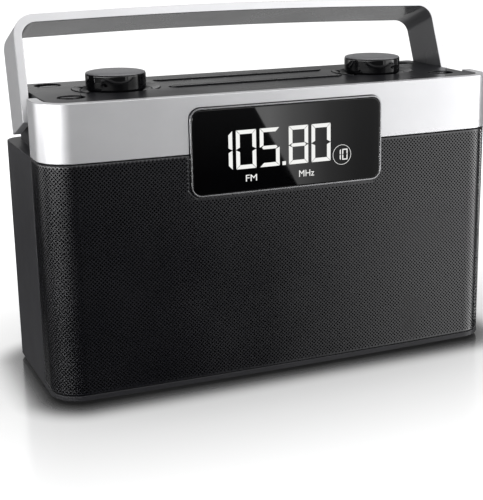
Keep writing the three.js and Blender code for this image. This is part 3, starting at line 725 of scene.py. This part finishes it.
# ---------------------------------------------------------------- carrying handle
def handle_mesh():
    """The bent strap, silver outside and dark on its inner faces, where the dark material is painted shade
    under and inside the strap.
    """
    reach, end, width = HANDLE["reach"], HANDLE["end"], HANDLE["width"]
    foot, shoulder, arch, bar, arm = (STRAP[name] for name in ("foot", "shoulder", "arch", "bar", "arm"))
    inner, outer, sweep = STRAP["inner_round"], STRAP["outer_round"], STRAP["sweep"]
    outline = rounded_outline([
        (-foot, -end, 0), (-foot + arm, -end, 0), (-shoulder + arm, reach - bar - arch, inner),
        (0, reach - bar + arch, sweep), (shoulder - arm, reach - bar - arch, inner), (foot - arm, -end, 0),
        (foot, -end, 0), (shoulder, reach - arch, outer), (0, reach + arch, sweep),
        (-shoulder, reach - arch, outer),
    ], 14)
    lean = math.radians(HANDLE["lean"])

    def across(offset):
        def at(p):
            y = p.y * math.sin(lean) + offset * math.cos(lean)
            z = p.y * math.cos(lean) - offset * math.sin(lean)
            return place(p.x, HANDLE["pivot_y"] + y, HANDLE["pivot_z"] + z)
        return at

    mesh = prism_between("handle_fine", outline, across(-width / 2), across(width / 2))
    mesh.materials.append(look["silver"])
    mesh.materials.append(look["inner_shade"])
    middle = place(0, HANDLE["pivot_y"], HANDLE["pivot_z"] + reach / 2)
    # Faces turned inwards get the dark material, as painted shade.
    for face in mesh.polygons:
        sideways = abs(face.normal.y * math.cos(lean) - face.normal.z * math.sin(lean))
        inwards = (middle - face.center).dot(face.normal)
        at_end = face.center.z < place(0, 0, HANDLE["pivot_z"] - 4).z and abs(face.normal.x) < 0.5
        face.material_index = 1 if sideways < 0.5 and inwards > 0 and not at_end else 0
    return mesh


finished("handle_fine", handle_mesh(), look["silver"], "handle", ["handle"], 0.4, 3)


# ---------------------------------------------------------------- display: digits, ring and unit words
DIGIT = {"width": 11.3, "height": 20.6, "stroke": 2.1, "gap": 0.16, "bottom": 116.1}
DIGIT_PLACES = (-43.8, -30.4, -17.0, -0.3, 13.0)
POINT = {"left": -4.1, "side": 2.0}
SMALL_DIGIT = {"width": 3.2, "height": 6.0, "stroke": 0.6, "gap": 0.06, "bottom": 115.8}
SMALL_PLACES = (27.3, 31.4)
RING = {"x": 31.2, "z": 118.7, "radius": 5.5, "stroke": 0.22}
INK = {"front": 0.02, "back": 0.13, "letter_depth": 0.1}
SEGMENTS = {"0": "abcdef", "1": "bc", "5": "acdfg", "8": "abcdefg"}


def digit_segments(figure, left, bottom, width, height, stroke, gap):
    """Outlines (x, z) of the lit bars of a seven-bar figure, with mitred ends."""
    right, top, middle = left + width, bottom + height, bottom + height / 2
    half = stroke / 2
    inner_left, inner_right = left + stroke, right - stroke
    bars = {
        "a": [(left + gap, top), (right - gap, top), (inner_right - gap, top - stroke),
              (inner_left + gap, top - stroke)],
        "d": [(inner_left + gap, bottom + stroke), (inner_right - gap, bottom + stroke),
              (right - gap, bottom), (left + gap, bottom)],
        "g": [(left + half + gap, middle), (inner_left, middle + half - gap),
              (inner_right, middle + half - gap), (right - half - gap, middle),
              (inner_right, middle - half + gap), (inner_left, middle - half + gap)],
    }
    for name, outer, inner in (("f", left, inner_left), ("b", right, inner_right)):
        bars[name] = [(outer, top - gap), (inner, top - stroke - gap), (inner, middle + half + gap),
                      (outer, middle + gap)]
    for name, outer, inner in (("e", left, inner_left), ("c", right, inner_right)):
        bars[name] = [(outer, middle - gap), (inner, middle - half - gap), (inner, bottom + stroke + gap),
                      (outer, bottom + gap)]
    return [bars[name] for name in SEGMENTS[figure]]


def display_mesh(name, outlines):
    """Thin flat solids just in front of the window, one for each outline."""
    work = bmesh.new()
    for outline in outlines:
        front = [work.verts.new(place(x, LENS_FRONT + INK["front"], z)) for x, z in outline]
        back = [work.verts.new(place(x, LENS_FRONT + INK["back"], z)) for x, z in outline]
        count = len(outline)
        work.faces.new(front)
        work.faces.new(back[::-1])
        for index in range(count):
            after = (index + 1) % count
            work.faces.new([front[index], back[index], back[after], front[after]])
    bmesh.ops.recalc_face_normals(work, faces=work.faces)
    mesh = bpy.data.meshes.new(name)
    work.to_mesh(mesh)
    work.free()
    return mesh


def figure_row(text, places, size):
    outlines = []
    for figure, left in zip(text, places):
        outlines += digit_segments(figure, left, **size)
    return outlines


def ring_outlines(x, z, radius, stroke, count=64):
    """A thin ring made of short flat pieces that meet edge to edge."""
    def around(reach, step):
        angle = 2 * math.pi * step / count
        return x + reach * math.cos(angle), z + reach * math.sin(angle)

    inner = radius - stroke
    return [
        [around(radius, step), around(radius, step + 1), around(inner, step + 1), around(inner, step)]
        for step in range(count)
    ]


def lit(name, mesh):
    """Hangs a flat lit sign on the cabinet, without smoothed edges."""
    finished(name, mesh, look["digits"], "cabinet")
    mesh.polygons.foreach_set("use_smooth", [False] * len(mesh.polygons))


big = figure_row("10580", DIGIT_PLACES, DIGIT)
left, low, side = POINT["left"], DIGIT["bottom"], POINT["side"]
point = [(left, low), (left + side, low), (left + side, low + side), (left, low + side)]
small = figure_row("10", SMALL_PLACES, SMALL_DIGIT)
lit("display_digits", display_mesh("display_digits", big + [point] + small + ring_outlines(**RING)))


def unit_word(name, text, left, right, bottom, height):
    """A short word set in the built-in typeface, stretched into its box on the window."""
    curve = bpy.data.curves.new(name, "FONT")
    curve.body = text
    curve.size = 1.0
    curve.resolution_u = 4
    item = bpy.data.objects.new(name, curve)
    bpy.context.scene.collection.objects.link(item)
    bpy.context.view_layer.update()
    mesh = bpy.data.meshes.new_from_object(item.evaluated_get(bpy.context.evaluated_depsgraph_get()))
    bpy.data.objects.remove(item)
    spots = [v.co.copy() for v in mesh.vertices]
    low_x, high_x = min(p.x for p in spots), max(p.x for p in spots)
    low_y, high_y = min(p.y for p in spots), max(p.y for p in spots)
    for vertex in mesh.vertices:
        x = left + (vertex.co.x - low_x) / (high_x - low_x) * (right - left)
        z = bottom + (vertex.co.y - low_y) / (high_y - low_y) * height
        vertex.co = place(x, LENS_FRONT + INK["front"], z)
    mesh.name = name
    mesh.materials.clear()
    work = bmesh.new()
    work.from_mesh(mesh)
    made = bmesh.ops.extrude_face_region(work, geom=work.faces[:])
    for vertex in made["geom"]:
        if isinstance(vertex, bmesh.types.BMVert):
            vertex.co.y += INK["letter_depth"] * MM
    bmesh.ops.recalc_face_normals(work, faces=work.faces)
    work.to_mesh(mesh)
    work.free()
    lit(name, mesh)


unit_word("band_word", "FM", left=-25.2, right=-18.9, bottom=109.2, height=3.5)
unit_word("unit_word", "MHz", left=5.6, right=14.5, bottom=108.8, height=3.5)

# ---------------------------------------------------------------- CAD nodes that stay as they are
KEPT = {
    "black_plastic": "black", "cell_jacket": "cell", "lcd_glass": "lcd", "circuit_board": "board",
    "bright_metal": "chrome", "zinc_steel": "zinc", "speaker_paper": "paper", "ferrite": "ferrite",
}
for node, item in frame["nodes"].items():
    if not item.hide_render:
        item.data.materials.clear()
        item.data.materials.append(look[KEPT[SLOT_OF[node]]])

# ---------------------------------------------------------------- floor
def from_footprint(tree, vector):
    """Distance from the cabinet's footprint, for the painted contact shadow where it meets the floor."""
    nodes, links = tree.nodes, tree.links
    middle_y = (BODY["front"] - BODY["bow"] + BODY["back"]) / 2
    half_x = BODY["half_width"] - BODY["corner"]
    half_y = (BODY["back"] - BODY["front"] + BODY["bow"]) / 2 - BODY["corner"]
    steps = [("SUBTRACT", (0, (middle_y + SHIFT_Y) * MM, 0)), ("ABSOLUTE", None),
             ("SUBTRACT", (half_x * MM, half_y * MM, 0)), ("MAXIMUM", (0, 0, 0)), ("MULTIPLY", (1, 1, 0)),
             ("LENGTH", None)]
    for operation, value in steps:
        node = nodes.new("ShaderNodeVectorMath")
        node.operation = operation
        links.new(vector, node.inputs[0])
        if value:
            node.inputs[1].default_value = value
        vector = node.outputs["Value" if operation == "LENGTH" else "Vector"]
    return vector


def spread(tree, value, start_mm, end_mm, low, high):
    """A value that goes evenly from low to high between two distances from the footprint."""
    span = tree.nodes.new("ShaderNodeMapRange")
    span.inputs["From Min"].default_value = (BODY["corner"] + start_mm) * MM
    span.inputs["From Max"].default_value = (BODY["corner"] + end_mm) * MM
    span.inputs["To Min"].default_value = low
    span.inputs["To Max"].default_value = high
    tree.links.new(value, span.inputs["Value"])
    return span.outputs["Result"]


# The painted contact shadow round the foot runs from inside the footprint outwards; further out the table
# gets lighter and less shiny. Distances in millimetres, then the two values between which they lead.
PAINTED_SHADOW = {"start_mm": -4, "end_mm": 23, "low": 0.0, "high": 1.0}
PAINTED_SHADOW_TONES = ((0.0, 0.01), (0.22, 0.05), (0.45, 0.22), (0.72, 0.70), (1.0, 0.88))
PAINTED_GLOW = {"start_mm": 60, "end_mm": 260, "low": 0.20, "high": 0.42}
MIRROR = {"start_mm": 10, "end_mm": 170, "low": 0.40, "high": 0.10}


def floor_material():
    """White table: mostly matt, with a soft mirror image of what stands on it, a painted contact shadow round
    the foot and a painted glow further out.
    """
    material, tree, shader = new_material("floor_look", (0.88, 0.88, 0.885), 0.8)
    nodes, links = tree.nodes, tree.links
    vector = textured_coordinate(tree, (1.0, 1.0, 1.0))
    # Painted contact shadow: this ramp darkens the table's colour near the foot.
    rim = nodes.new("ShaderNodeValToRGB")
    rim.color_ramp.interpolation = "B_SPLINE"
    for at, tone in PAINTED_SHADOW_TONES[1:-1]:
        rim.color_ramp.elements.new(at)
    for element, (at, tone) in zip(rim.color_ramp.elements, PAINTED_SHADOW_TONES):
        element.position = at
        element.color = (tone, tone, tone, 1.0)
    distance = from_footprint(tree, vector)
    links.new(spread(tree, distance, **PAINTED_SHADOW), rim.inputs["Fac"])
    links.new(rim.outputs["Color"], shader.inputs["Base Color"])
    # Painted glow: the table gives off light, held back near the foot by the painted shadow and stronger
    # further out.
    links.new(rim.outputs["Color"], shader.inputs["Emission Color"])
    links.new(spread(tree, distance, **PAINTED_GLOW), shader.inputs["Emission Strength"])
    shader.inputs["Specular IOR Level"].default_value = 0.0
    gloss = nodes.new("ShaderNodeBsdfGlossy")
    links.new(add_range(tree, add_noise(tree, vector, 3.0), 0.13, 0.19), gloss.inputs["Roughness"])
    blend = nodes.new("ShaderNodeMixShader")
    links.new(spread(tree, distance, **MIRROR), blend.inputs["Fac"])
    links.new(shader.outputs["BSDF"], blend.inputs[1])
    links.new(gloss.outputs["BSDF"], blend.inputs[2])
    links.new(blend.outputs["Shader"], nodes["Material Output"].inputs["Surface"])
    return material


FLOOR_HALF = 12.0
corners = [(x * FLOOR_HALF, y * FLOOR_HALF, 0) for x, y in ((-1, -1), (1, -1), (1, 1), (-1, 1))]
mesh = from_points("floor", corners, [[0, 1, 2, 3]])
floor = bpy.data.objects.new("floor", mesh)
mesh.materials.append(floor_material())
bpy.context.scene.collection.objects.link(floor)
floor.visible_glossy = False

# ---------------------------------------------------------------- studio light
scene = bpy.context.scene
world = bpy.data.worlds.new("studio")
scene.world = world
world.use_nodes = True
tree = world.node_tree
nodes, links = tree.nodes, tree.links
nodes.clear()


def math_node(operation, *values):
    node = nodes.new("ShaderNodeMath")
    node.operation = operation
    for index, value in enumerate(values):
        if isinstance(value, (int, float)):
            node.inputs[index].default_value = value
        else:
            links.new(value, node.inputs[index])
    return node.outputs["Value"]


def level_ramp(value, low, high, stops):
    """Brightness along a scale from low to high, straight between (place, brightness) stops."""
    share = nodes.new("ShaderNodeMapRange")
    share.inputs["From Min"].default_value = low
    share.inputs["From Max"].default_value = high
    links.new(value, share.inputs["Value"])
    curve = nodes.new("ShaderNodeFloatCurve")
    links.new(share.outputs["Result"], curve.inputs["Value"])
    points = curve.mapping.curves[0].points
    top = max(level for _, level in stops)
    while len(points) < len(stops):
        points.new(0.5, 0.5)
    for point, (at, level) in zip(points, stops):
        point.location = ((at - low) / (high - low), level / top)
        point.handle_type = "VECTOR"
    curve.mapping.update()
    return math_node("MULTIPLY", curve.outputs["Value"], top)


direction = nodes.new("ShaderNodeTexCoord")
split = nodes.new("ShaderNodeSeparateXYZ")
links.new(direction.outputs["Generated"], split.inputs["Vector"])
backwards = math_node("MULTIPLY", split.outputs["Y"], -1.0)
turn = math_node("MULTIPLY", math_node("ARCTAN2", split.outputs["X"], backwards), 180 / math.pi)
rise = math_node("MULTIPLY", math_node("ARCSINE", split.outputs["Z"]), 180 / math.pi)

# Brightness round the room, seen only in reflections: turn 0 is the front, positive towards +X.
# Each ring is its brightness round the room times its brightness from straight down to straight up.
RINGS = {
    "table_in_front": (
        [(-180, 0.0), (-127, 0.0), (-100, 0.2), (-80, 0.35), (-50, 0.15), (-27, 0.01), (28, 0.01),
         (29.5, 0.4), (31.5, 1.3), (36, 1.9), (50, 2.1), (59, 2.5), (70, 4.4), (74, 4.4),
         (77, 0.03), (180, 0.0)],
        [(-90, 0.02), (-30, 0.4), (-20, 1.05), (-12, 1.15), (-5, 1.0), (36, 1.0), (46, 0.0),
         (90, 0.0)]),
    "table_behind": (
        [(-180, 0.25), (-170, 0.2), (-160, 0.2), (-152, 0.3), (-144, 0.8), (-136, 1.7),
         (-120, 2.4), (-112, 0.8), (-104, 0.0), (150, 0.2), (168, 0.25), (180, 0.25)],
        [(-90, 0.1), (-20, 0.05), (-12, 0.05), (-8.5, 1.0), (1, 1.0), (4, 0.0), (90, 0.0)]),
    "soft_box_left": (
        [(-180, 0.0), (-142, 0.0), (-134, 1.0), (-120, 3.0), (-104, 7.0), (-86, 13.0), (-52, 14.0),
         (-40, 11.0), (-28, 6.0), (-16, 2.0), (-4, 0.4), (8, 0.0), (180, 0.0)],
        [(-90, 0.0), (-5, 0.0), (-3, 1.0), (3, 1.0), (6, 0.0), (90, 0.0)]),
    "floor_behind": (
        [(-180, 0.7), (-165, 0.2), (-150, 0.0), (100, 0.0), (120, 0.7), (180, 0.7)],
        [(-90, 1.0), (-25, 1.0), (-18, 0.0), (90, 0.0)]),
    "room": (
        [(-180, 0.1), (-120, 0.1), (-20, 0.1), (2, 0.25), (12, 0.7), (22, 1.7), (29, 1.1),
         (33, 0.3), (40, 0.0), (85, 0.0), (100, 0.0), (180, 0.0)],
        [(-90, 0.0), (12, 0.0), (17, 1.0), (38, 1.0), (50, 0.0), (90, 0.0)]),
    "backdrop": (
        [(-180, 0.7), (-172, 0.35), (-165, 0.12), (-150, 0.0), (85, 0.0), (90, 0.1), (130, 0.25),
         (142, 0.36), (150, 0.37), (157, 0.42), (165, 0.62), (180, 0.75)],
        [(-90, 0.0), (0, 0.0), (3, 1.0), (38, 1.0), (50, 0.0), (90, 0.0)]),
    "ceiling": (
        [(-180, 1.0), (180, 1.0)],
        [(-90, 0.0), (36, 0.0), (50, 1.0), (90, 1.0)]),
}
reflected = 0.0
for around, upwards in RINGS.values():
    ring = math_node("MULTIPLY", level_ramp(turn, -180, 180, around), level_ramp(rise, -90, 90, upwards))
    reflected = math_node("ADD", reflected, ring)

# A card in front with a slanting edge makes the bright corner of the display.
CARD = {
    "slant": 0.55, "edge": 17.66,
    "around": [(20, 2.5), (23.2, 2.5), (24.3, 1.5), (26, 0.62), (27.4, 0.32), (30, 0.1), (34, 0.0)],
    "upwards": [(-90, 0.0), (-20, 0.0), (-16, 1.0), (-4, 1.0), (0, 0.0), (90, 0.0)],
}
slanted = math_node("ADD", turn, math_node("MULTIPLY", rise, CARD["slant"]))
card_edge = math_node("GREATER_THAN", slanted, CARD["edge"])
card = level_ramp(turn, 20, 34, CARD["around"])
card_height = level_ramp(rise, -90, 90, CARD["upwards"])
shown = math_node("MULTIPLY", math_node("MULTIPLY", card, card_height), card_edge)
reflected = math_node("ADD", reflected, shown)

rays = nodes.new("ShaderNodeLightPath")
background = nodes.new("ShaderNodeBackground")
background.inputs["Color"].default_value = (1, 1, 1, 1)
even_light = 1.0
chosen = nodes.new("ShaderNodeMix")
chosen.data_type = "FLOAT"
links.new(rays.outputs["Is Glossy Ray"], chosen.inputs["Factor"])
chosen.inputs["A"].default_value = even_light
links.new(reflected, chosen.inputs["B"])
links.new(chosen.outputs["Result"], background.inputs["Strength"])
output = nodes.new("ShaderNodeOutputWorld")
links.new(background.outputs["Background"], output.inputs["Surface"])


def soft_light(name, at, size, power):
    lamp = bpy.data.lights.new(name, "AREA")
    lamp.shape = "RECTANGLE"
    lamp.size, lamp.size_y = size
    lamp.energy = power
    item = bpy.data.objects.new(name, lamp)
    item.location = at
    towards_radio = Vector((0, 0, 0.1)) - Vector(at)
    item.rotation_euler = towards_radio.to_track_quat("-Z", "Y").to_euler()
    scene.collection.objects.link(item)
    item.visible_camera = False
    item.visible_glossy = False


soft_light("top_softbox", at=(0.0, -0.3, 1.6), size=(1.6, 1.6), power=14)

# ---------------------------------------------------------------- camera
azimuth, elevation, roll = (math.radians(CAMERA[name]) for name in ("azimuth", "elevation", "roll"))
forward = Vector((math.sin(azimuth) * math.cos(elevation), math.cos(azimuth) * math.cos(elevation),
                  -math.sin(elevation)))
level = Vector((math.cos(azimuth), -math.sin(azimuth), 0))
above = level.cross(forward)
right = level * math.cos(roll) + above * math.sin(roll)
up = above * math.cos(roll) - level * math.sin(roll)
camera_data = bpy.data.cameras.new("camera")
camera = bpy.data.objects.new("camera", camera_data)
scene.collection.objects.link(camera)
turned = Matrix((right, up, -forward)).transposed()
camera.matrix_world = Matrix.Translation(place(*CAMERA["at"])) @ turned.to_4x4()
camera_data.sensor_width = CAMERA["sensor"]
camera_data.lens = CAMERA["lens"]
camera_data.shift_x = CAMERA["shift_x"]
camera_data.shift_y = CAMERA["shift_y"]
camera_data.clip_start, camera_data.clip_end = 0.05, 60.0
scene.camera = camera
scene.view_settings.view_transform = "Standard"
